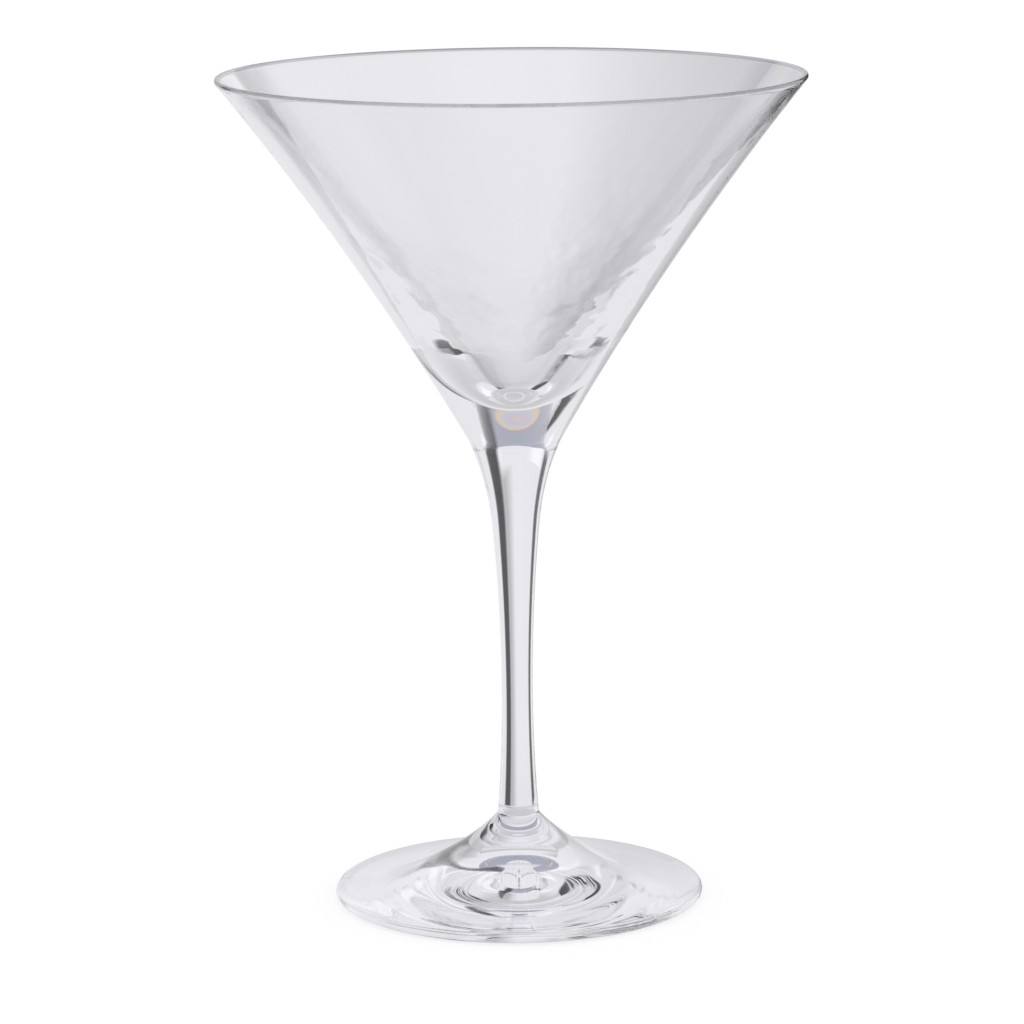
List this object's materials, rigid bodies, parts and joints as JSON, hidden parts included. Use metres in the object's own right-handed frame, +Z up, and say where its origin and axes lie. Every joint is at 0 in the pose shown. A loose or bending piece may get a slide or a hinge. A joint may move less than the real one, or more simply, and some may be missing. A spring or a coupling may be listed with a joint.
{
  "type": "martini glass",
  "caption": "Stemmed cocktail glass with a wide flared conical bowl, a slender waisted stem and a round disc foot.",
  "frame": {"origin": "centre of the flat ring that the foot rests on", "axes": "+Z up along the glass's axis, from the foot to the rim; X and Y are any two directions square to it"},
  "size_m": [0.118, 0.118, 0.1688],
  "materials": {
    "bowl_glass": "clear blown glass, fire-polished",
    "stem_glass": "clear drawn glass, fire-polished",
    "foot_glass": "clear spun glass, fire-polished, with faint spinning ripples"
  },
  "bodies": {
    "root": {"bowl": "bowl_glass", "stem": "stem_glass", "foot": "foot_glass"}
  },
  "joints": []
}
